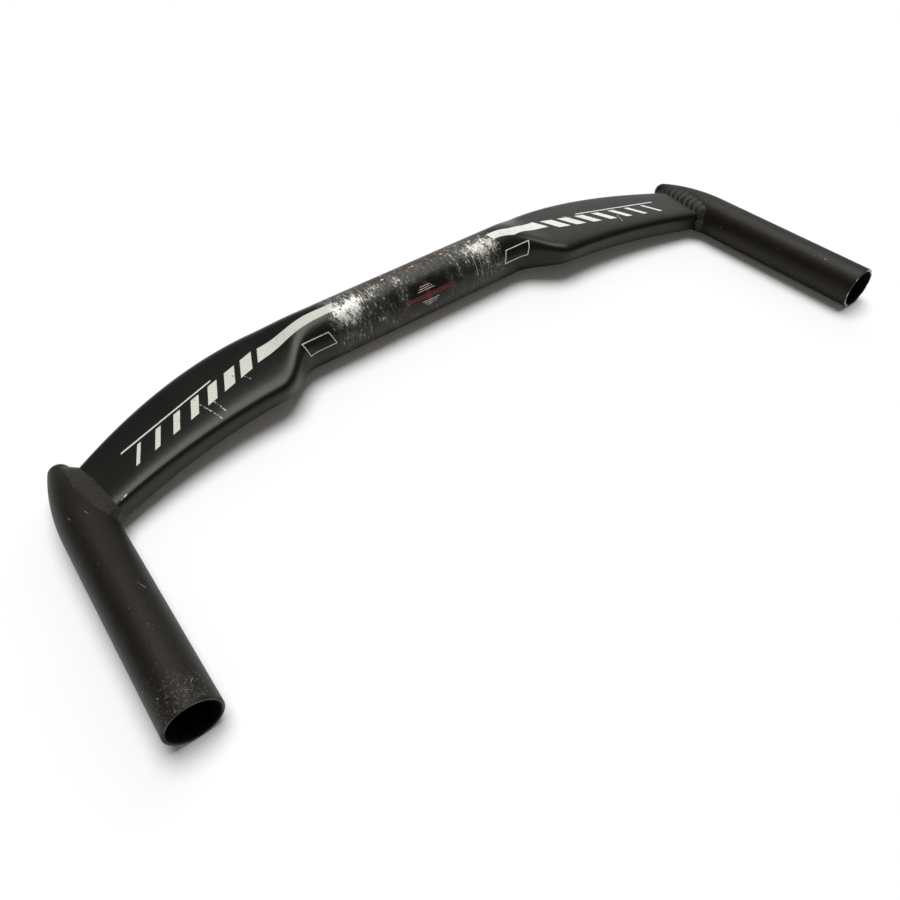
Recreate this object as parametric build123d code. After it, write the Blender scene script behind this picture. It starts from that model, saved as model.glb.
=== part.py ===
"""Bullhorn handlebar: a hydroformed wing beam with a bullet-nosed horn tube welded to each end."""
from build123d import *
import os
from math import copysign, cos, pi, sin

# Frame: the origin is the middle of the clamp zone, on its axis, X along the bar, horns towards -Y, Z up.
# All sizes are in millimetres.

# Layout of the bar
horn_spacing = 416.2  # between the axes of the two horns
horn_reach = 158.5  # from the clamp axis forward to the open horn ends

# Horn tubes
horn_d = 23.8
horn_wall = 1.6
horn_length = 154.0  # open end to nose tip
nose_length = 48.5  # drawn-down rear end, from just ahead of the weld: a long side arc and a round tip
nose_tip_r = 5.5
bore_taper = 38.0  # length of the bore's cone inside the nose
rim_break = 0.4  # chamfer on the two edges of the open end
vent_d = 7.0  # hole through the horn's inner side into the beam

# Round centre of the beam
clamp_d = 31.8
round_length = 124.0  # straight cylinder: the clamp zone and both of its margins
beam_wall = 2.2
draw_step = 0.05  # the drawn arms start this far inside the round centre

# Wing of the beam at its shoulder and at its joint with the horn, measured from the clamp axis unless said
shoulder_x = 97.0  # from the middle of the bar to the shoulder's corner
shoulder_front = 32.2
shoulder_rear = 21.3
joint_chord = 38.9  # wing's depth from front to rear at the joint
joint_setback = 6.8  # from the nose's tip forward to the trailing edge at the joint
shoulder_top = 8.5
joint_top = 1.9
shoulder_bottom = 9.2
joint_bottom = 12.5
shoulder_lean = 2.3  # the top skin stands this far forward of the middle, the lower skin as far back
joint_lean = 0.8
shoulder_squareness = 2.5  # exponent of the superellipse section, where 2 is a plain ellipse
joint_squareness = 2.9
front_sweep = 2.0  # power of the leading edge's forward sweep
rear_sweep = 1.9  # power of the trailing edge's forward sweep

# Where each edge leaves the round section and where it has joined the wing, from the middle of the bar
front_blend = (68.5, 103.0)
rear_blend = (63.0, 101.5)
skin_blend = (62.5, 101.5)

# Weld
bead_leg = 2.2  # bead size along the horn and along the wing
bead_margin = 6.0  # the bead's form follows the wing from this far inside the joint

# Values that follow from the sizes above
clamp_r = clamp_d / 2
horn_r = horn_d / 2
round_end = round_length / 2
horn_x = horn_spacing / 2
horn_z = horn_r - clamp_r  # every underside lies in one plane
joint_x = horn_x - horn_r  # inner side of the horn
arm_end = horn_x - horn_wall * 2
mouth_y = -horn_reach
tip_y = mouth_y + horn_length
nose_y = tip_y - nose_length
tip_reach = nose_length - nose_tip_r  # from the nose's start to the centre of its tip
nose_side_r = (horn_r**2 + tip_reach**2 - nose_tip_r**2) / (2 * (horn_r - nose_tip_r))  # tangent to tube and tip
joint_rear = tip_y - joint_setback  # negative: the trailing edge has swept forward of the clamp axis
joint_front = joint_chord - joint_rear
joint_y = (joint_rear - joint_front) / 2
joint_z = (joint_top - joint_bottom) / 2

# Fineness of the drawn curves
section_points = 20
arm_stations = 22
bore_stations = 12
bead_stations = 2


def ease(x, start, end):
    """Smooth step from 0 at start to 1 at end, level and without curvature at both."""
    t = min(max((x - start) / (end - start), 0.0), 1.0)
    return t**3 * (10 - 15 * t + 6 * t * t)


def mix(a, b, t):
    """Value between a and b at share t."""
    return a + (b - a) * t


def wing_section(x, grow):
    """Closed section of the beam at x: a circle that eases into a leaning superellipse."""
    t = max((x - shoulder_x) / (joint_x - shoulder_x), 0.0)
    skin = ease(x, *skin_blend)
    root = clamp_r - draw_step
    front = mix(root, mix(shoulder_front, joint_front, t**front_sweep), ease(x, *front_blend))
    rear = mix(root, mix(shoulder_rear, joint_rear, t**rear_sweep), ease(x, *rear_blend))
    top = mix(root, mix(shoulder_top, joint_top, t), skin)
    bottom = mix(root, mix(shoulder_bottom, joint_bottom, t), skin)
    half_chord = (front + rear) / 2 + grow
    half_height = (top + bottom) / 2 + grow
    mid_y = (rear - front) / 2
    mid_z = (top - bottom) / 2
    lean = mix(shoulder_lean, joint_lean, t) * skin
    power = 2 / mix(2.0, mix(shoulder_squareness, joint_squareness, t), skin)
    points = []
    for i in range(section_points):
        angle = 2 * pi * i / section_points
        u = copysign(abs(cos(angle)) ** power, cos(angle))
        v = copysign(abs(sin(angle)) ** power, sin(angle))
        points.append((x, mid_y + half_chord * u - lean * v, mid_z + half_height * v))
    return Wire(Spline(*points, periodic=True))


def arm(start_x, end_x, stations, grow, straight=False):
    """Solid right arm of the beam, its skin moved out by grow, smooth or with straight runs between stations."""
    step = (end_x - start_x) / (stations - 1)
    return Solid.make_loft([wing_section(start_x + i * step, grow) for i in range(stations)], straight)


def round_bar(radius):
    """Round centre of the beam along X."""
    return Solid.make_cylinder(radius, round_length, Plane((-round_end, 0, 0), x_dir=(0, 1, 0), z_dir=(1, 0, 0)))


def horn_form(grow):
    """Solid outline of the right horn: a tube with a bullet nose, revolved about the horn's axis."""
    radius = horn_r + grow
    span = nose_side_r - nose_tip_r
    turn_x = (nose_tip_r + grow) * (nose_side_r - horn_r) / span
    turn_y = nose_y + tip_reach + (nose_tip_r + grow) * tip_reach / span
    with BuildPart() as form:
        with BuildSketch():
            with BuildLine():
                side = TangentArc((radius, nose_y), (turn_x, turn_y), tangent=(0, 1))
                tip = TangentArc(side @ 1, (0, nose_y + nose_length + grow), tangent=side % 1)
                Polyline(tip @ 1, (0, mouth_y), (radius, mouth_y), side @ 0)
            make_face()
        revolve(axis=Axis.Y)
    return Pos(horn_x, 0, horn_z) * form.part


def horn_bore():
    """Bore of the right horn: straight from the mouth, then a cone inside the nose."""
    radius = horn_r - horn_wall
    with BuildPart() as bore:
        with BuildSketch():
            with BuildLine():
                Polyline((0, mouth_y), (radius, mouth_y), (radius, nose_y), (0, nose_y + bore_taper), close=True)
            make_face()
        revolve(axis=Axis.Y)
    return Pos(horn_x, 0, horn_z) * bore.part


# Centre beam: the round centre and both drawn arms, hollow, coped to the horns
right_horn_form = horn_form(0)
right_arm = arm(round_end, arm_end, arm_stations, 0)
right_bore = arm(round_end, arm_end, bore_stations, -beam_wall, straight=True)
outside = round_bar(clamp_r) + right_arm + mirror(right_arm, Plane.YZ)
inside = round_bar(clamp_r - beam_wall) + right_bore + mirror(right_bore, Plane.YZ)
centre_beam = outside - inside - right_horn_form - mirror(right_horn_form, Plane.YZ)

# Horns: bored from the mouth, with the vent into the beam and both rim edges broken
vent = Cylinder(vent_d / 2, horn_d, rotation=(0, 90, 0))
right_horn = right_horn_form - horn_bore() - Pos(joint_x, joint_y, joint_z) * vent
rim = right_horn.faces().sort_by(Axis.Y)[0].edges()
right_horn = chamfer(rim, rim_break)

# Weld beads: the ring where the enlarged wing and the enlarged horn cross, outside both
bead_arm = arm(joint_x - bead_margin, arm_end, bead_stations, bead_leg, straight=True)
right_weld_bead = (bead_arm & horn_form(bead_leg)) - right_arm - right_horn_form

os.makedirs("parts", exist_ok=True)
export_step(centre_beam, "parts/centre_beam.step")
export_step(right_horn, "parts/right_horn.step")
export_step(mirror(right_horn, Plane.YZ), "parts/left_horn.step")
export_step(right_weld_bead, "parts/right_weld_bead.step")
export_step(mirror(right_weld_bead, Plane.YZ), "parts/left_weld_bead.step")
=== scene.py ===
# %% [markdown]
# # A bullhorn handlebar
# The bar is one welded piece: a round clamp zone swells into two flat wings, and a tube with a bullet
# nose is welded across the end of each wing. The CAD model gives the sizes. This script gives the skin,
# the finish and the light, with every surface worked out by numpy from a formula of two parameters.

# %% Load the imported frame
import bpy
import numpy as np
from mathutils import Matrix


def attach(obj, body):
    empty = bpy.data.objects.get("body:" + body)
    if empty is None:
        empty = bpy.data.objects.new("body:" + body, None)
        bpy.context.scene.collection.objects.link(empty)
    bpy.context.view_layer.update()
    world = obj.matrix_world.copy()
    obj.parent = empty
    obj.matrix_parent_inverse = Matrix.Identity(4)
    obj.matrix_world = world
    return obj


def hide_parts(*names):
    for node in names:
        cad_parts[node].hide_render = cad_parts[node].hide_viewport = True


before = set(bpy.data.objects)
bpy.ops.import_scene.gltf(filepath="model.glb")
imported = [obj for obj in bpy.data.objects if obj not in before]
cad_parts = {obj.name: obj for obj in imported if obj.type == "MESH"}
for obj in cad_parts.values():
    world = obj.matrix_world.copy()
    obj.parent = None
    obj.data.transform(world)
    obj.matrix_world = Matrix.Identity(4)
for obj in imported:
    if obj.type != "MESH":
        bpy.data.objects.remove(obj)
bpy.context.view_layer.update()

# %% [markdown]
# ## Sizes
# A formula needs the same few sizes as the construction. They are written once, in millimetres, and the
# surfaces are turned into metres at the very end, when they become meshes.

# %% Sizes of the bar in millimetres
MM = 0.001
clamp_r = 15.9  # round clamp zone
horn_x = 208.1  # axis of the right horn
horn_z = -4.0
horn_r = 11.9
bore_r = 10.3
mouth_y = -158.5  # open end
tip_y = -4.5  # nose tip
nose_y = -53.0  # where the nose starts to draw down
tip_r = 5.5
bore_end = -15.0  # point of the cone inside the nose
shoulder_x = 97.0
joint_x = horn_x - horn_r
shoulder = {"front": 32.2, "rear": 20.85, "top": 8.5, "bottom": 9.2, "lean": 2.3, "square": 3.5}
joint = {"front": 50.2, "rear": -11.3, "top": 1.9, "bottom": 12.5, "lean": 0.8, "square": 5.0}
sweep = {"front": 2.0, "rear": 1.9}  # power of each edge's forward sweep
blend = {"front": (68.5, 103.0), "rear": (63.0, 101.5), "skin": (62.5, 101.5)}
tip_centre = tip_y - tip_r
tip_reach = tip_centre - nose_y
side_r = (horn_r**2 + tip_reach**2 - tip_r**2) / (2 * (horn_r - tip_r))  # arc tangent to tube and tip
turn_y = tip_centre + tip_r * tip_reach / (side_r - tip_r)  # where the side arc meets the tip
table_z = -clamp_r
print("nose side arc", round(side_r, 2), "joins the tip at y", round(turn_y, 2))

# %% [markdown]
# ## From rings to a mesh
# Every piece here is a stack of closed rings. By hand one would extrude a circle and bridge its edge
# loops. A helper does the same for any piece: it joins ring to ring by index arithmetic, and a cap point
# closes each end. The signed volume tells whether the faces look outwards, and turns them round if they
# don't.


# %% Ring helper
def ring_piece(name, rings, caps=(), crease=40.0):
    """Mesh of rings[i, j] in millimetres: quads join ring i to ring i + 1, and a cap point closes the first
    and the last ring by a fan. Without caps the stack closes on itself like a tyre."""
    count, around = rings.shape[:2]
    corner = np.arange(count * around).reshape(count, around)
    beside = np.roll(corner, -1, axis=1)
    if len(caps):
        low, high = slice(None, -1), slice(1, None)
        quads = np.stack([corner[low], beside[low], beside[high], corner[high]], axis=-1).reshape(-1, 4)
        first = np.full(around, count * around)
        fans = np.concatenate([np.stack([beside[0], corner[0], first], axis=-1),
                               np.stack([corner[-1], beside[-1], first + 1], axis=-1)])
        points = np.concatenate([rings.reshape(-1, 3), np.array(caps)])
    else:
        ahead = np.roll(corner, -1, axis=0)
        quads = np.stack([corner, beside, np.roll(beside, -1, axis=0), ahead], axis=-1).reshape(-1, 4)
        fans = np.zeros((0, 3), int)
        points = rings.reshape(-1, 3)
    thirds = np.concatenate([quads[:, [0, 1, 2]], quads[:, [0, 2, 3]], fans])
    a, b, c = points[thirds[:, 0]], points[thirds[:, 1]], points[thirds[:, 2]]
    if np.einsum("ij,ij->", a, np.cross(b, c)) < 0:
        quads, fans = quads[:, ::-1], fans[:, ::-1]
    mesh = bpy.data.meshes.new(name)
    mesh.from_pydata((points * MM).tolist(), [], quads.tolist() + fans.tolist())
    mesh.shade_smooth()
    mesh.set_sharp_from_angle(angle=np.radians(crease))
    piece = bpy.data.objects.new(name, mesh)
    bpy.context.collection.objects.link(piece)
    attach(piece, "root")
    print(name, len(mesh.vertices), "points", len(mesh.polygons), "faces")
    return piece


# %% [markdown]
# ## The beam's skin
# The real beam starts as a round tube and is pressed into a wing in a mould. One could scale the loops of
# a cylinder by eye, but a formula keeps every step smooth. The section is a circle in the middle and a
# leaning superellipse in the wing, and smooth steps carry front, rear, top and bottom from one to the
# other.


# %% Section of the beam
def ease(x, start, end):
    """Smooth step from 0 at start to 1 at end, level and without curvature at both."""
    t = np.clip((x - start) / (end - start), 0.0, 1.0)
    return t**3 * (10 - 15 * t + 6 * t * t)


def mix(a, b, t):
    """Value between a and b at share t."""
    return a + (b - a) * t


def power_of(value, power):
    """Power that keeps the sign of the value."""
    return np.sign(value) * np.abs(value) ** power


def beam_section(x, turn):
    """y and z of the beam's skin at distance x from the middle of the bar. With u = |cos turn| ** (2 / n)
    and v = |sin turn| ** (2 / n), both with their signs, y = middle + chord / 2 * u - lean * v and
    z = middle + height / 2 * v. The exponent n is 2 for the round tube and more for the wing."""
    t = np.maximum((x - shoulder_x) / (joint_x - shoulder_x), 0.0)
    skin = ease(x, *blend["skin"])
    edge = {side: mix(clamp_r, mix(shoulder[side], joint[side], t ** sweep[side]), ease(x, *blend[side]))
            for side in ("front", "rear")}
    face = {side: mix(clamp_r, mix(shoulder[side], joint[side], t), skin) for side in ("top", "bottom")}
    lean = mix(shoulder["lean"], joint["lean"], t) * skin
    power = 2 / mix(2.0, mix(shoulder["square"], joint["square"], t), skin)
    u, v = power_of(np.cos(turn), power), power_of(np.sin(turn), power)
    y = (edge["rear"] - edge["front"]) / 2 + (edge["rear"] + edge["front"]) / 2 * u - lean * v
    z = (face["top"] - face["bottom"]) / 2 + (face["top"] + face["bottom"]) / 2 * v
    return y, z


quarter_turns = np.radians([0.0, 90.0, 180.0, 270.0])
wing_y, wing_z = beam_section(np.full(4, joint_x), quarter_turns)
print("wing at the horn is", round(np.ptp(wing_y), 1), "deep and", round(np.ptp(wing_z), 1), "high")

# %% [markdown]
# The end of the wing is cut to sit on the horn, like a tube that a frame builder mitres with a file. A
# Boolean could cut it, but it leaves ragged faces. So the length at each turn is found by a few rounds of
# one step: go to where the horn's surface is at that height. One surface then makes the whole beam
# without a seam.

# %% Beam surface
side_share = 0.97  # share of the horn's radius above which its side counts as level
mitre_rounds = 8
sunk = 0.7  # the wing's end goes this far into the horn's wall
wing_end = (-30.0, -5.3)  # y and z in the middle of the wing's end
beam_around, beam_along = 176, 500


def horn_radius(y):
    """Radius of the horn at y: the tube, then the long side arc, then the round tip."""
    side = np.sqrt(np.maximum(side_r**2 - np.maximum(y - nose_y, 0.0) ** 2, 0.0)) - (side_r - horn_r)
    tip = np.sqrt(np.maximum(tip_r**2 - (y - tip_centre) ** 2, 0.0))
    return np.where(y < turn_y, side, tip)


def horn_side(y, z):
    """x of the horn's inner side at y and z: the axis less the half chord at that height."""
    limit = side_share * horn_radius(y)
    rise = np.clip(z - horn_z, -limit, limit)
    return horn_x - np.sqrt(np.maximum(horn_radius(y) ** 2 - rise**2, 0.0))


def mitre(turn):
    """Length of the wing at each turn, so that its end lies on the horn."""
    x = np.full_like(turn, joint_x)
    for _ in range(mitre_rounds):
        x = horn_side(*beam_section(x, turn))
    return x


beam_turns = np.linspace(0, 2 * np.pi, beam_around, endpoint=False)
beam_lengths = np.linspace(-1, 1, beam_along)[:, None]
beam_x = beam_lengths * (mitre(beam_turns) + sunk)
beam_y, beam_z = beam_section(np.abs(beam_x), np.broadcast_to(beam_turns, beam_x.shape))
beam_caps = [(side * (joint_x + 2 * sunk), *wing_end) for side in (-1, 1)]
beam = ring_piece("beam_skin", np.stack([beam_x, beam_y, beam_z], axis=-1), beam_caps)
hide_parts("centre_beam")

# %% [markdown]
# ## The horns
# A horn is a tube with one end drawn down to a round nose, so it is a profile turned about an axis. A
# Screw modifier could turn it, and numpy does the same and leaves a finished mesh. The profile runs from
# the nose tip along the outside, round the lip of the open end and back along the bore. The left horn is
# the same surface with x turned round, and the helper sets its faces right again.

# %% Horn surface
lip_r = 0.5  # rounding of the two edges of the open end
bore_start = mouth_y + 2.0
horn_around = 160


def arc(centre, radius, start, end, count):
    """Points of a circle about centre from angle start to angle end in degrees."""
    angle = np.radians(np.linspace(start, end, count))
    return np.stack([centre[0] + radius * np.cos(angle), centre[1] + radius * np.sin(angle)], axis=-1)


def horn_profile():
    """Radius and y of the horn's outline from the nose tip to the end of the bore."""
    nose = np.degrees(np.arcsin((turn_y - tip_centre) / tip_r))
    return np.concatenate([
        arc((0, tip_centre), tip_r, 89, nose, 14),
        arc((horn_r - side_r, nose_y), side_r, nose, 0, 40)[1:],
        np.linspace((horn_r, nose_y), (horn_r, mouth_y + lip_r), 60)[1:-1],
        arc((horn_r - lip_r, mouth_y + lip_r), lip_r, 0, -90, 7),
        arc((bore_r + lip_r, mouth_y + lip_r), lip_r, 270, 180, 7),
        np.linspace((bore_r, bore_start), (bore_r, nose_y), 12),
        np.linspace((bore_r, nose_y), (0.2, bore_end), 12)[1:],
    ])


profile = horn_profile()
horn_turns = np.linspace(0, 2 * np.pi, horn_around, endpoint=False)
horn_rings = np.stack([np.outer(profile[:, 0], np.cos(horn_turns)) + horn_x,
                       np.outer(profile[:, 1], np.ones_like(horn_turns)),
                       np.outer(profile[:, 0], np.sin(horn_turns)) + horn_z], axis=-1)
horn_caps = np.array([(horn_x, tip_y, horn_z), (horn_x, bore_end, horn_z)])
sides = {"left": np.array([-1.0, 1.0, 1.0]), "right": np.array([1.0, 1.0, 1.0])}
horns = {}
for side, mirror in sides.items():
    horns[side] = ring_piece(f"{side}_horn_tube", horn_rings * mirror, horn_caps * mirror)
    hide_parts(f"{side}_horn")

# %% [markdown]
# ## The weld beads
# A weld is a row of small puddles that froze one upon the next, so its crown carries curved ripples like
# fish scales. They could be a bump in the material, but real ripples also show on the outline. The bead
# is a section carried round the seam: a crown from the wing to the horn, with its foot sunk in both. The
# ripples raise the crown by the sine's absolute value, which leaves sharp valleys.

# %% Seam between wing and horn
seam_steps = 2001  # turns at which the seam's length is measured
seam_points = 720
crown_points = 21
crown_span = (-8.0, 98.0)  # degrees from the wing to the horn, each foot a little below the surface
ripple_bend = 0.45  # share of a pitch by which a ripple lags at the feet
root_depth = 0.8


def seam(count):
    """Turns round the wing of count points at even steps along the right seam, and the seam's length."""
    turn = np.linspace(0, 2 * np.pi, seam_steps)
    x = mitre(turn)
    y, z = beam_section(x, turn)
    steps = np.hypot(np.hypot(np.diff(x), np.diff(y)), np.diff(z))
    run = np.concatenate([[0.0], np.cumsum(steps)])
    return np.interp(np.linspace(0, run[-1], count, endpoint=False), run, turn), run[-1]


def bead_rings(pitch, lift, on_wing, on_horn, hollow):
    """Bead round the right seam and its count of ripples. From 0 to 90 degrees the crown goes from the wing
    to the horn as on_wing * cos ** hollow and on_horn * sin ** hollow, where hollow 1 is an ellipse and 2 a
    straight slope. A ripple scales both by 1 + lift * (|sin| - 0.5), half a turn of the sine a pitch."""
    turn, length = seam(seam_points)
    ripples = round(length / pitch)
    x = mitre(turn)
    y, z = beam_section(x, turn)
    ahead = np.stack([np.roll(y, -1) - np.roll(y, 1), np.roll(z, -1) - np.roll(z, 1)])
    out_y, out_z = np.stack([ahead[1], -ahead[0]]) / np.hypot(*ahead)
    phi = np.radians(np.linspace(*crown_span, crown_points))
    row = np.arange(seam_points)[:, None] / seam_points
    bend = ripple_bend * (phi / np.radians(45) - 1) ** 2
    crown = 1 + lift * (np.abs(np.sin(np.pi * (ripples * row - bend))) - 0.5)
    climb = on_horn * power_of(np.sin(phi), hollow) * crown
    wide = on_wing * power_of(np.cos(phi), hollow) * crown
    bead_y = y[:, None] + out_y[:, None] * climb
    bead_z = z[:, None] + out_z[:, None] * climb
    bead_x = horn_side(bead_y, bead_z) - wide
    bead_z = np.clip(bead_z, horn_z - horn_radius(bead_y), horn_z + horn_radius(bead_y))
    rings = np.stack([bead_x, bead_y, bead_z], axis=-1)
    root = np.stack([x + sunk, y - root_depth * out_y, z - root_depth * out_z], axis=-1)[:, None]
    return np.concatenate([rings, root], axis=1), ripples


print("seam is", round(seam(seam_points)[1], 1), "mm long")

# %% [markdown]
# The two welds of this bar differ. The left one is dressed into a wide strip with fine marks, and the
# right one keeps its coarse scales. One function makes both, so each weld is only a row of sizes.

# %% Both beads
bead_looks = {
    "left": {"pitch": 1.9, "lift": 0.10, "on_wing": 3.6, "on_horn": 4.6, "hollow": 2.2},
    "right": {"pitch": 4.4, "lift": 0.22, "on_wing": 2.2, "on_horn": 4.0, "hollow": 1.7},
}
beads = {}
for side, look in bead_looks.items():
    rings, ripples = bead_rings(**look)
    beads[side] = ring_piece(f"{side}_weld_crown", rings * sides[side], (), crease=75.0)
    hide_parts(f"{side}_weld_bead")
    print(side, "bead has", ripples, "ripples")

# %% [markdown]
# ## A shorthand for finishes
# A finish is a formula of the place on the surface. Its nodes could be laid out by hand in the Shader
# Editor. Here a helper adds one node for each call and gives back its output, so a finish reads as
# formulas. Its ruler turns object coordinates into millimetres, so every mark is written at its real
# place and size.


# %% Finish helper
class Finish:
    """Material with a Principled shader whose nodes are added by short calls."""

    def __init__(self, name):
        self.material = bpy.data.materials.new(name)
        self.material.use_nodes = True
        self.tree = self.material.node_tree
        self.shader = self.tree.nodes["Principled BSDF"]
        ruler = self.add("ShaderNodeMapping", Vector=self.add("ShaderNodeTexCoord").outputs["Object"])
        ruler.inputs["Scale"].default_value = (1 / MM, 1 / MM, 1 / MM)
        self.place = ruler.outputs[0]
        self.x, self.y, self.z = self.add("ShaderNodeSeparateXYZ", Vector=self.place).outputs

    def add(self, kind, settings=None, **values):
        """Node of a kind, with settings and with its inputs set to values or linked to outputs."""
        node = self.tree.nodes.new(kind)
        for key, value in (settings or {}).items():
            setattr(node, key, value)
        for key, value in values.items():
            self.feed(node.inputs[key.replace("_", " ")], value)
        return node

    def feed(self, socket, value):
        """Links an output to the socket, or sets a number on it."""
        if isinstance(value, bpy.types.NodeSocket):
            self.tree.links.new(value, socket)
        else:
            socket.default_value = value

    def math(self, operation, *values):
        """Result of one Math node."""
        node = self.add("ShaderNodeMath", {"operation": operation})
        for socket, value in zip(node.inputs, values):
            self.feed(socket, value)
        return node.outputs[0]

    def times(self, first, *others):
        """Product of all values."""
        for other in others:
            first = self.math("MULTIPLY", first, other)
        return first

    def plus(self, first, *others):
        """Sum of all values."""
        for other in others:
            first = self.math("ADD", first, other)
        return first

    def most(self, first, *others):
        """Largest of all values."""
        for other in others:
            first = self.math("MAXIMUM", first, other)
        return first

    def less(self, value, other):
        """Difference of two values."""
        return self.math("SUBTRACT", value, other)

    def line(self, value, slope, start):
        """Straight line: value times slope plus start."""
        return self.math("MULTIPLY_ADD", value, slope, start)

    def step(self, value, low, high):
        """Smooth step from 0 at low to 1 at high."""
        smooth = {"interpolation_type": "SMOOTHSTEP"}
        node = self.add("ShaderNodeMapRange", smooth, Value=value, From_Min=low, From_Max=high)
        return node.outputs[0]

    def band(self, value, centre, half, soft):
        """1 within half of centre, with edges as wide as soft."""
        off = self.math("ABSOLUTE", self.less(value, centre))
        return self.less(1.0, self.step(off, half - soft / 2, half + soft / 2))

    def flat(self, x, y):
        """Vector of two values with z at 0."""
        return self.add("ShaderNodeCombineXYZ", X=x, Y=y).outputs[0]

    def noise(self, scale, detail=3.0, vector=None, rough=0.55):
        """Noise from 0 to 1, with scale in cells for each millimetre."""
        vector = self.place if vector is None else vector
        node = self.add("ShaderNodeTexNoise", Vector=vector, Scale=scale, Detail=detail, Roughness=rough)
        return node.outputs[0]

    def blend(self, share, a, b):
        """Number between a and b."""
        node = self.add("ShaderNodeMix")
        for socket, value in zip((node.inputs[0], node.inputs[2], node.inputs[3]), (share, a, b)):
            self.feed(socket, value)
        return node.outputs[0]

    def tint(self, share, a, b):
        """Colour between a and b, each three numbers or an output."""
        node = self.add("ShaderNodeMix", {"data_type": "RGBA"})
        for socket, value in zip((node.inputs[0], node.inputs[6], node.inputs[7]), (share, a, b)):
            self.feed(socket, (*value, 1.0) if isinstance(value, tuple) else value)
        return node.outputs[2]

    def scratch(self, start, end, half):
        """Line mark on the top view from start to end: 1 where the distance to the stretch is under half."""
        from_start = self.add("ShaderNodeVectorMath", {"operation": "SUBTRACT"})
        self.feed(from_start.inputs[0], self.flat(self.x, self.y))
        from_start.inputs[1].default_value = (*start, 0.0)
        along = np.subtract(end, start)
        share = self.add("ShaderNodeVectorMath", {"operation": "DOT_PRODUCT"})
        self.feed(share.inputs[0], from_start.outputs[0])
        share.inputs[1].default_value = (*(along / (along @ along)), 0.0)
        held = self.math("MINIMUM", self.math("MAXIMUM", share.outputs["Value"], 0), 1)
        nearest = self.add("ShaderNodeVectorMath", {"operation": "SCALE"})
        nearest.inputs[0].default_value = (*along, 0.0)
        self.feed(nearest.inputs["Scale"], held)
        gap = self.add("ShaderNodeVectorMath", {"operation": "DISTANCE"})
        self.feed(gap.inputs[0], from_start.outputs[0])
        self.feed(gap.inputs[1], nearest.outputs[0])
        return self.less(1.0, self.step(gap.outputs["Value"], half * 0.4, half * 1.6))

    def scratches(self, lines, half):
        """All line marks of a list of starts and ends."""
        return self.most(*[self.scratch(start, end, half) for start, end in lines])

    def gloss(self, level, tint):
        """Sets the strength and the tint of the gloss, the same all over the surface."""
        self.shader.inputs["Specular IOR Level"].default_value = level
        self.shader.inputs["Specular Tint"].default_value = (*tint, 1.0)

    def coat(self, colour, roughness, metal, height, depth):
        """Joins colour, roughness, metal and a bump of depth millimetres to the shader."""
        bump = self.add("ShaderNodeBump", Height=height, Distance=depth * MM, Strength=1.0)
        self.feed(self.shader.inputs["Base Color"], colour)
        self.feed(self.shader.inputs["Roughness"], roughness)
        self.feed(self.shader.inputs["Metallic"], metal)
        self.feed(self.shader.inputs["Normal"], bump.outputs[0])
        print(self.material.name, "has", len(self.tree.nodes), "nodes")
        return self.material


# %% [markdown]
# ## Satin black on the beam
# The wings are anodised a satin black. The stem has rubbed the clamp zone down to bare aluminium near
# both of its ends, in streaks that run round the tube, and a pale stripe, slanted blocks and centring
# ticks are printed on top. A painted picture could hold all this, but it would blur when the view comes
# close, so every mark is a formula in millimetres. The first values are the reach from the middle and the
# girth round the tube.

# %% Rulers on the beam
satin = Finish("satin_black_worn")
reach = satin.math("ABSOLUTE", satin.x)
girth = satin.times(satin.math("ARCTAN2", satin.times(satin.y, -1.0), satin.z), clamp_r)
upper = satin.step(satin.z, -1.0, 1.0)
print("girth runs from", round(-np.pi * clamp_r, 1), "to", round(np.pi * clamp_r, 1), "mm")

# %% [markdown]
# The stripe follows the wing: its rear edge runs along the bar, and its front edge falls away as a
# parabola. On the right it is straightened by two small shifts, and it starts later there. Smooth steps
# cut its edges, because a hard step would show single pixels.

# %% Printed stripe
stripe_from, right_from, stripe_to = 51.0, 56.6, 98.0  # along the bar, on the slant
stripe_wide = 5.2  # at its narrow end
fall_from, fall_rate = 52.0, 0.0019  # where the front edge starts to fall away, and how fast
edge_slant = 0.45  # lean of both ends
parabola = satin.math("POWER", satin.less(reach, fall_from), 2.0)
front_edge = satin.line(parabola, -fall_rate, -stripe_wide)
forward = satin.times(satin.band(satin.x, 73.0, 3.0, 18.0), 2.4)
backward = satin.times(satin.step(satin.x, 78.0, 96.0), -2.2)
stripe_y = satin.plus(satin.y, satin.plus(forward, backward))
behind_front = satin.step(satin.less(stripe_y, front_edge), -0.15, 0.15)
ahead_of_rear = satin.less(1.0, satin.step(stripe_y, 0.0, 0.3))
slant = satin.line(satin.y, edge_slant, reach)
late_start = satin.less(1.0, satin.band(slant, right_from / 2, right_from / 2, 0.3))
starts = satin.most(late_start, satin.math("LESS_THAN", satin.x, 0.0))
stripe_run = satin.band(slant, (stripe_from + stripe_to) / 2, (stripe_to - stripe_from) / 2, 0.3)
stripe = satin.times(behind_front, ahead_of_rear, stripe_run, upper, starts)
print("stripe is", stripe_to - stripe_from, "mm long on the left,", stripe_to - right_from, "on the right")

# %% [markdown]
# The blocks sit on a line that sweeps forward with the wing. The fraction of the run along it, counted in
# pitches, repeats the block without a loop, and the share of each pitch that is printed shrinks towards
# the horn. A thin line runs behind the blocks, and an outlined tag beside the clamp is one slanted field
# less a smaller one.

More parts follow.
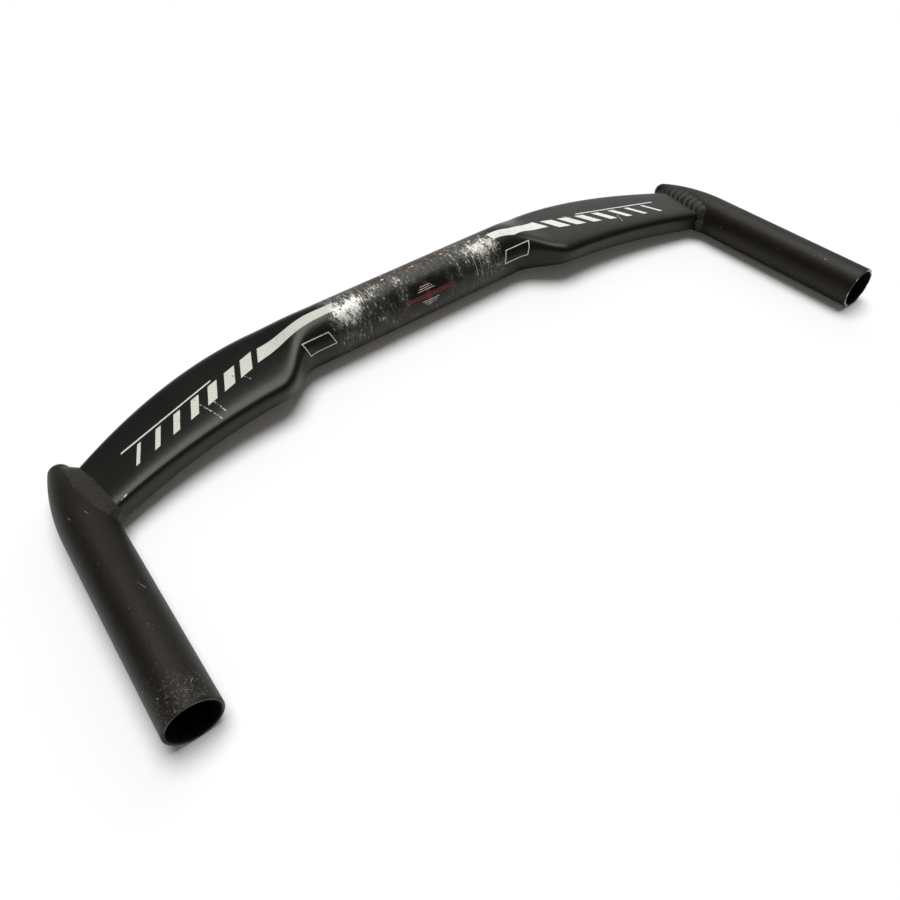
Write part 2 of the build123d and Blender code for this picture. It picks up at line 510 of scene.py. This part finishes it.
# %% Printed blocks, line and tag
first_block, last_block, block_pitch = 104.0, 184.0, 11.6  # along the bar
block_half, block_slant = 5.4, 0.5
line_slope, line_start = 0.309, 26.4  # sweep of the line, and its place over the middle of the bar
pin_from, pin_to, pin_off = 131.0, 185.0, 7.6
tag_reach, tag_girth, tag_slant = 75.5, 18.6, 0.35
tag_long, tag_wide, tag_line = 8.6, 3.9, 0.5  # half its length, half its width, and its outline
off_line = satin.plus(satin.y, satin.line(reach, line_slope, -line_start))
block_run = satin.line(off_line, block_slant, reach)
block_share = satin.math("FRACT", satin.math("DIVIDE", satin.less(block_run, first_block), block_pitch))
block_wide = satin.line(block_run, -0.0075, 1.5)
block_edge = satin.step(satin.less(block_wide, block_share), -0.008, 0.008)
block_stretch = satin.band(block_run, (first_block + last_block) / 2, (last_block - first_block) / 2, 0.3)
blocks = satin.times(block_edge, satin.band(off_line, 0.0, block_half, 0.3), block_stretch, upper)
pin_stretch = satin.band(block_run, (pin_from + pin_to) / 2, (pin_to - pin_from) / 2, 0.4)
pin_line = satin.times(satin.band(off_line, pin_off, 0.5, 0.25), pin_stretch, upper)
tag_x = satin.line(girth, tag_slant, satin.less(reach, tag_reach))
tag_out = satin.times(satin.band(tag_x, 0.0, tag_long, 0.2), satin.band(girth, tag_girth, tag_wide, 0.2))
tag_in = satin.times(satin.band(tag_x, 0.0, tag_long - tag_line, 0.2),
                     satin.band(girth, tag_girth, tag_wide - tag_line, 0.2))
tag = satin.less(tag_out, tag_in)
chips = satin.step(satin.noise(0.9, 5.0), 0.30, 0.36)
printed = satin.times(satin.most(stripe, blocks, pin_line, tag), chips)
print("blocks repeat every", block_pitch, "mm from", first_block)

# %% [markdown]
# Centring ticks help a mechanic to set the bar in the middle of the stem. A red cross lies in front, with
# rows of short white lines above and below it, and dots with red dashes run along the top. Each line is a
# thin band over the girth or along the bar, and noise takes some ink away as rubbing does.

# %% Centring ticks
cross_at, cross_girth = 3.0, 19.2
tick_pitch, tick_girth = 20.6, -1.0
cross_x = satin.less(satin.x, cross_at)
cross_rings = satin.most(satin.band(cross_x, -0.75, 0.3, 0.2), satin.band(cross_x, 0.75, 0.3, 0.2))
ring_lines = satin.times(cross_rings, satin.band(girth, cross_girth, 7.6, 0.4))
cross_bars = [satin.band(girth, cross_girth + off, 0.26, 0.2) for off in (-0.6, 0.6)]
long_lines = satin.times(satin.most(*cross_bars), satin.band(cross_x, 0.5, 16.5, 0.4))
tick_turns = satin.math("DIVIDE", satin.plus(cross_x, 3.5 * tick_pitch), tick_pitch)
tick_run = satin.less(satin.math("FRACT", tick_turns), 0.5)
tick_zone = satin.band(cross_x, 9.5, 34.0, 0.5)
ticks = satin.times(satin.band(tick_run, 0.0, 0.17, 0.02), satin.band(girth, tick_girth, 0.5, 0.3))
ticks = satin.times(ticks, tick_zone)
dots = satin.times(satin.band(tick_run, 0.0, 0.040, 0.015), satin.band(girth, tick_girth, 0.7, 0.3))
dots = satin.times(dots, tick_zone)
scale_rows = []
for off in (3.2, 4.4, 5.6):
    for way in (-1, 1):
        row_girth = satin.band(girth, cross_girth + way * off, 0.15, 0.16)
        scale_rows.append(satin.times(row_girth, satin.band(cross_x, way * 0.8, 9.0 - off, 0.3)))
inked_white = satin.times(satin.most(dots, *scale_rows), satin.step(satin.noise(0.6), 0.34, 0.42))
red_ink = satin.step(satin.noise(0.7), 0.36, 0.44)
print("cross has", len(scale_rows), "rows of short lines")

# %% [markdown]
# Wear is never even. Noise stretched round the tube gives streaks, finer noise gives specks, and a broad
# one gives patches. Their sum is the grain, and it decides later, place by place, where metal shows. The
# worn zone ends in a ragged line, because noise also shifts the place where it stops.

# %% Grain of the wear
streak_place = satin.flat(satin.times(satin.x, 1.5), satin.times(girth, 0.22))
streak = satin.noise(1.0, 5.0, streak_place, 0.7)
speck = satin.noise(0.75, 5.0, rough=0.72)
patch = satin.noise(0.14, 3.0)
grain = satin.plus(satin.times(speck, 0.3), satin.times(patch, 0.2), satin.times(streak, 0.5))
ragged = satin.line(satin.noise(0.45, 4.0), 14.0, satin.x)
round_zone = satin.band(ragged, 7.0, 59.0, 2.0)
red = satin.times(satin.most(ring_lines, long_lines, ticks), round_zone, red_ink)
print("grain is made with", len(satin.tree.nodes), "nodes so far")

# %% [markdown]
# The rub is where the stem pressed. Both ends of the clamp zone are rubbed almost bare and the top is
# scuffed grey, while the field round the cross was spared. Each of these is a soft field over reach and
# girth, and a field only shifts the grain, so its border stays speckled.

# %% Rubbed fields
left_rub = satin.times(satin.band(satin.x, -46.0, 10.0, 12.0), satin.band(girth, 8.5, 6.5, 9.0))
right_rub = satin.times(satin.band(satin.x, 48.0, 13.0, 14.0), satin.band(girth, 7.5, 6.0, 9.0))
faint_places = ((-11.0, 3.0, 8.0), (27.5, 1.5, 4.0), (-27.0, 4.0, 8.0), (-46.0, 9.0, 8.0), (48.0, 10.0, 8.0))
faint_rings = satin.most(*[satin.band(satin.x, *place) for place in faint_places])
faint_rub = satin.times(faint_rings, satin.band(girth, 12.0, 14.0, 12.0))
top_rub = satin.times(satin.band(satin.x, -1.0, 56.0, 8.0), satin.band(girth, -3.0, 9.0, 12.0))
spared = satin.times(satin.band(satin.x, cross_at, 13.0, 8.0), satin.band(girth, cross_girth, 7.5, 6.0))
end_rub = satin.most(left_rub, satin.times(right_rub, 0.85), satin.times(faint_rub, 0.3))
all_rub = satin.plus(satin.times(end_rub, 0.150), satin.times(top_rub, 0.04))
rub = satin.less(all_rub, satin.times(spared, 0.10))
rubbed = satin.plus(grain, rub)
print("stem left", len(faint_places), "faint rings")

# %% [markdown]
# Where the rubbed grain passes a limit the metal is bare, and below that the black is only scuffed. A few
# single rings are cut deeper, where an edge of the stem turned on the tube, and scratches cross the
# wings. A scratch is the distance to a short line in the top view, broken up by noise.

# %% Bare metal, rings and scratches
ring_places = (-54.0, -49.5, -45.0, -41.7, -37.2, -33.6, -30.2, 38.5, 42.0, 45.3, 48.8, 52.4, 55.6, 59.3)
wing_scratches = [
    ((-138.7, -17.6), (-134.3, -31.7)),
    ((-132.6, -18.4), (-130.6, -29.0)),
    ((-112.4, -14.8), (-110.9, -18.0)),
    ((-97.6, -5.8), (-96.2, -8.8)),
    ((149.1, -21.3), (146.1, -29.5)),
    ((-187.9, -45.9), (-191.2, -47.1)),
    ((118.0, -3.0), (121.5, -6.5)),
    ((-134.4, -31.2), (-134.0, -32.4)),
    ((-130.8, -28.4), (-130.3, -29.6)),
]
fleck = satin.times(satin.less(satin.noise(1.6, 3.0, rough=0.6), 0.5), 0.22)
bare = satin.step(satin.plus(rubbed, fleck), 0.59, 0.66)
scuff = satin.times(satin.step(satin.plus(rubbed, satin.times(top_rub, 0.03)), 0.46, 0.62), round_zone)
cut_rings = satin.most(*[satin.band(satin.x, at, 0.14, 0.2) for at in ring_places])
cut_depth = satin.step(satin.noise(0.16, 3.0), 0.48, 0.62)
cut = satin.times(cut_rings, cut_depth, satin.band(girth, 9.0, 16.0, 10.0))
scratched = satin.times(satin.scratches(wing_scratches, 0.3), satin.step(satin.noise(1.0, 4.0), 0.46, 0.56))
worn = satin.times(satin.most(bare, satin.times(cut, 0.8)), round_zone)
metal = satin.most(worn, satin.times(scratched, 0.7))
print("beam has", len(ring_places), "cut rings and", len(wing_scratches), "scratches")

# %% [markdown]
# The layers go on in their real order: black, dust, scuffs, print, and bare metal over all of it. Each
# layer is a mix whose share is one of the fields above. Bare metal is only partly metallic here, because
# a scraped surface scatters light like a pale matte one. The gloss is set on the shader itself, as it is
# the same all over.

# %% Satin black material
SATIN_BLACK = (0.0042, 0.0040, 0.0034)
SMOKED_BLACK = (0.0085, 0.0080, 0.0066)
DUST_GREY = (0.10, 0.096, 0.085)
SCUFF_GREY = (0.13, 0.124, 0.106)
PRINT_SILVER = (0.66, 0.66, 0.59)
PRINT_WHITE = (0.84, 0.84, 0.80)
PRINT_RED = (0.25, 0.045, 0.035)
TICK_WHITE = (0.7, 0.7, 0.66)
BARE_METAL = (0.70, 0.69, 0.64)
mottle = satin.noise(0.035, 4.0)
dust = satin.step(satin.noise(1.3, 4.0, rough=0.7), 0.60, 0.74)
black = satin.tint(mottle, SATIN_BLACK, SMOKED_BLACK)
black = satin.tint(satin.times(dust, 0.12), black, DUST_GREY)
black = satin.tint(satin.times(scuff, 0.55), black, SCUFF_GREY)
ink = satin.tint(satin.step(satin.x, -20.0, 20.0), PRINT_SILVER, PRINT_WHITE)
inked = satin.tint(printed, black, ink)
inked = satin.tint(red, inked, PRINT_RED)
inked = satin.tint(inked_white, inked, TICK_WHITE)
colour = satin.tint(metal, inked, BARE_METAL)
roughness = satin.blend(satin.most(printed, scuff), satin.blend(mottle, 0.27, 0.37), 0.55)
roughness = satin.blend(metal, roughness, 0.46)
dents = satin.times(satin.most(metal, scuff), -0.7)
relief = satin.plus(satin.times(satin.noise(4.5, 2.0), 0.35), dents)
satin.gloss(0.27, (1.0, 0.97, 0.90))
beam.data.materials.append(satin.coat(colour, roughness, satin.times(metal, 0.4), relief, 0.05))

# %% [markdown]
# ## Matte black on the horns
# The horns are rougher and a little browner than the wings. Their bore is painted near black and dull,
# as painted shade for the shade deep inside a tube. One material could be given to the outside and another
# to the bore. A formula is simpler: the distance from the horn's axis, less the radius of the bore or of its
# cone, tells the inside from the outside.

# %% Rulers on the horns
matte = Finish("matte_black_tube")
cone_slope = bore_r / (bore_end - nose_y)
away = matte.less(matte.math("ABSOLUTE", matte.x), horn_x)
height = matte.less(matte.z, horn_z)
axis_gap = matte.math("SQRT", matte.plus(matte.times(away, away), matte.times(height, height)))
bore_gap = matte.math("MINIMUM", matte.line(matte.y, -cone_slope, cone_slope * bore_end), bore_r)
outside = matte.step(matte.less(axis_gap, bore_gap), 0.15, 0.55)
print("cone in the nose closes by", round(cone_slope, 3), "mm for each mm")

# %% [markdown]
# A bar leans on walls and falls over, so its open ends suffer most. The lip of the right horn shows bare
# metal, and the top of the left horn is speckled near its mouth. Small chips and a few scrapes are spread
# over both.

# %% Marks on the horns
horn_scrapes = [
    ((-206.1, -50.2), (-205.1, -52.6)),
    ((-213.0, -48.6), (-212.4, -50.8)),
    ((-205.3, -152.3), (-203.0, -153.4)),
    ((-202.5, -150.1), (-201.4, -148.6)),
    ((208.0, -71.1), (206.2, -70.2)),
    ((201.8, -129.5), (204.0, -131.4)),
    ((-200.0, -101.0), (-201.6, -97.5)),
    ((212.0, -40.0), (210.5, -36.0)),
]
to_right = matte.step(matte.x, -300.0, 300.0)
left_half = matte.math("LESS_THAN", matte.x, 0.0)
rim = matte.less(1.0, matte.step(matte.y, mouth_y + 0.04, mouth_y + 0.20))
lip = matte.times(rim, outside, matte.step(matte.noise(0.22, 4.0), 0.46, 0.62), to_right)
mouth_rub = matte.times(matte.band(matte.y, mouth_y, 17.0, 18.0), matte.step(matte.z, -2.0, 8.0), left_half)
mouth_grain = matte.plus(matte.noise(1.0, 5.0, rough=0.75), matte.times(mouth_rub, 0.10))
speckle = matte.step(mouth_grain, 0.60, 0.76)
spots = matte.step(matte.noise(0.55, 2.0, rough=0.4), 0.76, 0.78)
scrapes = matte.times(matte.scratches(horn_scrapes, 0.12), matte.step(matte.noise(0.8), 0.38, 0.52))
horn_metal = matte.most(lip, matte.times(spots, 0.3, outside), matte.times(scrapes, 0.3, outside))
print("horns have", len(horn_scrapes), "scrapes")

# %% [markdown]
# The coat itself is a fine powder. Its pores are a noise of about one cell for each millimetre, which
# breaks up the gloss and gives the small bumps. A slow cloud between black and brown keeps the tubes from
# one flat tone.

# %% Matte black material
HORN_BLACK = (0.0040, 0.0034, 0.0023)
HORN_BROWN = (0.0085, 0.0070, 0.0046)
# painted shade: a near black that stands in for the shade inside the bore
BORE_PAINTED_SHADE = (0.0012, 0.0012, 0.0012)
PORE_GREY = (0.13, 0.115, 0.09)
SPECKLE_GREY = (0.17, 0.158, 0.130)
pores = matte.noise(1.4, 5.0, rough=0.72)
tube = matte.tint(matte.noise(0.045, 4.0), HORN_BLACK, HORN_BROWN)
tube = matte.tint(matte.times(matte.step(pores, 0.56, 0.76), 0.18), tube, PORE_GREY)
tube = matte.tint(matte.times(speckle, 0.6), tube, SPECKLE_GREY)
# the bore gets the painted shade instead of the horn's black
tube = matte.tint(outside, BORE_PAINTED_SHADE, tube)
tube = matte.tint(horn_metal, tube, BARE_METAL)
tube_roughness = matte.blend(outside, 0.9, matte.blend(pores, 0.40, 0.56))
tube_roughness = matte.blend(horn_metal, tube_roughness, 0.32)
tube_relief = matte.plus(matte.times(pores, 0.8), matte.times(horn_metal, -0.8))
matte.gloss(0.25, (1.0, 0.96, 0.88))
matte_black = matte.coat(tube, tube_roughness, matte.times(horn_metal, 0.85), tube_relief, 0.13)
for horn in horns.values():
    horn.data.materials.append(matte_black)

# %% [markdown]
# ## The finish on the welds
# The bead carries the same black over the grain of cast metal. The ripples are real geometry, so the
# finish only adds grit: a fine noise that moves colour, gloss and bump together.

# %% Weld finish
WELD_BLACK = (0.009, 0.0082, 0.0063)
WELD_BROWN = (0.017, 0.0155, 0.0120)
cast = Finish("matte_black_weld")
grit = cast.noise(3.2, 5.0, rough=0.7)
weld = cast.tint(cast.noise(0.12, 4.0), WELD_BLACK, WELD_BROWN)
weld = cast.tint(cast.times(cast.step(grit, 0.58, 0.74), 0.2), weld, PORE_GREY)
cast.gloss(0.34, (1.0, 0.96, 0.88))
matte_weld = cast.coat(weld, cast.blend(grit, 0.36, 0.54), 0.0, grit, 0.08)
for bead in beads.values():
    bead.data.materials.append(matte_weld)

# %% [markdown]
# ## Floor
# The bar lies on a white sheet, a flat grid that takes the shadow. A faint mottle keeps it from being one
# flat colour. A very weak warm glow lifts the sheet where it is looked at, directly or in a reflection.
# The Light Path node limits the glow to those rays, so that the glow itself lights nothing.

# %% White floor
PAPER_LOW = (0.940, 0.941, 0.944)
PAPER_HIGH = (0.968, 0.969, 0.972)
GLOW_WARM = (1.0, 0.93, 0.80)
glow_level = 0.04
floor_half = 2500.0
floor_count = 9  # points along each side
grid = np.linspace(-floor_half, floor_half, floor_count)
floor_xy = np.stack(np.meshgrid(grid, grid, indexing="ij"), axis=-1).reshape(-1, 2)
floor_points = np.concatenate([floor_xy, np.full((len(floor_xy), 1), table_z)], axis=1) * MM
cells = np.arange(floor_count**2).reshape(floor_count, floor_count)
cell_corners = [cells[:-1, :-1], cells[1:, :-1], cells[1:, 1:], cells[:-1, 1:]]
floor_faces = np.stack(cell_corners, axis=-1).reshape(-1, 4)
floor_mesh = bpy.data.meshes.new("floor")
floor_mesh.from_pydata(floor_points.tolist(), [], floor_faces.tolist())
floor = bpy.data.objects.new("floor", floor_mesh)
bpy.context.collection.objects.link(floor)
sheet = Finish("white_sheet")
paper = sheet.tint(sheet.noise(0.01, 2.0), PAPER_LOW, PAPER_HIGH)
path = sheet.add("ShaderNodeLightPath").outputs
looked_at = sheet.most(path["Is Camera Ray"], path["Is Glossy Ray"], path["Is Transmission Ray"])
sheet.shader.inputs["Emission Color"].default_value = (*GLOW_WARM, 1.0)
sheet.feed(sheet.shader.inputs["Emission Strength"], sheet.times(looked_at, glow_level))
floor_mesh.materials.append(sheet.coat(paper, 0.9, 0.0, sheet.noise(0.8, 2.0), 0.01))

# %% [markdown]
# ## Light
# A large soft source hangs nearly overhead. It draws a narrow shine along each crease and a dark, soft
# shadow close to the bar. A weak low window from behind brings out the far tops, and an even sky fills
# the rest. Both sources are suns with a wide disc, because a sun lights the whole sheet evenly, which an
# area lamp would not.


# %% Soft light
def sun(name, strength, spread, turn, rise):
    """Sun with a disc spread degrees wide, from compass turn, where 0 is +X, and rise over the floor."""
    lamp = bpy.data.lights.new(name, "SUN")
    lamp.energy = strength
    lamp.angle = np.radians(spread)
    a, e = np.radians(turn), np.radians(rise)
    back = np.array([np.cos(a) * np.cos(e), np.sin(a) * np.cos(e), np.sin(e)])
    right = np.array([-np.sin(a), np.cos(a), 0.0])
    holder = bpy.data.objects.new(name, lamp)
    holder.matrix_world = Matrix(np.column_stack([right, np.cross(back, right), back]).tolist()).to_4x4()
    bpy.context.collection.objects.link(holder)
    print(name, "stands", rise, "degrees over the floor with strength", strength)


sun("top_softbox", strength=2.75, spread=42.0, turn=44.0, rise=76.0)
sun("back_window", strength=0.38, spread=44.0, turn=36.0, rise=28.0)
world = bpy.data.worlds.new("studio")
bpy.context.scene.world = world
world.use_nodes = True
sky = world.node_tree.nodes["Background"]
sky.inputs["Color"].default_value = (1.0, 1.0, 1.0, 1.0)
sky.inputs["Strength"].default_value = 0.12

# %% [markdown]
# ## Camera
# The camera stands in front of the left horn and looks down on the bar. A Track To constraint could aim
# it, but the tilt of the picture needs a third angle. A camera's matrix has the picture's right, its up
# and the way back from the picture as columns, so the three angles give it directly.

# %% Camera
camera_turn, camera_rise, camera_roll = np.radians([-36.277, 47.103, -1.853])
camera_place = np.array([-197.00, -302.55, 251.75])
focal_pixels, picture_pixels = 735.7, 900
sideways, ahead = np.sin(camera_turn), np.cos(camera_turn)
behind = np.array([sideways * np.cos(camera_rise), -ahead * np.cos(camera_rise), np.sin(camera_rise)])
level = np.array([ahead, sideways, 0.0])
upright = np.cross(behind, level)
picture_right = np.cos(camera_roll) * level + np.sin(camera_roll) * upright
picture_up = -np.sin(camera_roll) * level + np.cos(camera_roll) * upright
axes = Matrix(np.column_stack([picture_right, picture_up, behind]).tolist()).to_4x4()
camera = bpy.data.objects.new("photo_camera", bpy.data.cameras.new("photo_camera"))
camera.data.sensor_width = 36.0
camera.data.lens = focal_pixels / picture_pixels * camera.data.sensor_width
camera.matrix_world = Matrix.Translation((camera_place * MM).tolist()) @ axes
bpy.context.collection.objects.link(camera)
bpy.context.scene.camera = camera
bpy.context.scene.view_settings.view_transform = "Standard"
print("camera lens is", round(camera.data.lens, 2), "mm")
